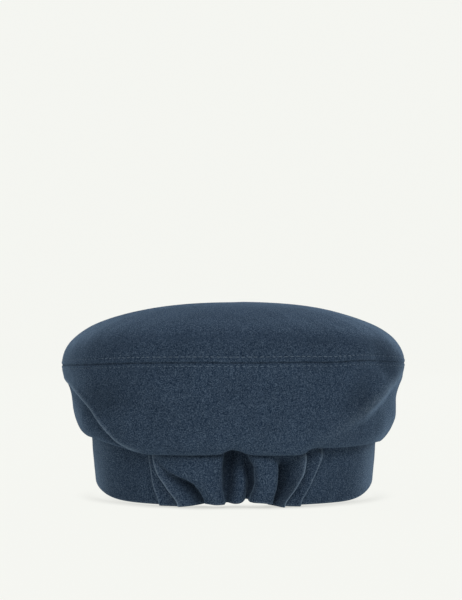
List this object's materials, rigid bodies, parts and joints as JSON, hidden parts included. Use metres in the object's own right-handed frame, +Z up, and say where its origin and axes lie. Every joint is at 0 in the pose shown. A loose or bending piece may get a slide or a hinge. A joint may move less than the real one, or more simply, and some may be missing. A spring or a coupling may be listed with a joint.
{
  "type": "baker boy cap",
  "caption": "Soft wool felt cap with a domed top, a full side panel drooping over a plain headband gathered at the back, and a curved peak in front.",
  "frame": {"origin": "on the surface that the cap rests on, under the middle of the cap's box", "axes": "+Z up, +Y forwards to the peak, +X to the wearer's right"},
  "size_m": [0.2186, 0.2692, 0.12],
  "materials": {
    "felt": "brushed wool felt"
  },
  "bodies": {
    "root": {"crown_top": "felt", "crown_side": "felt", "band": "felt", "peak": "felt"}
  },
  "joints": []
}
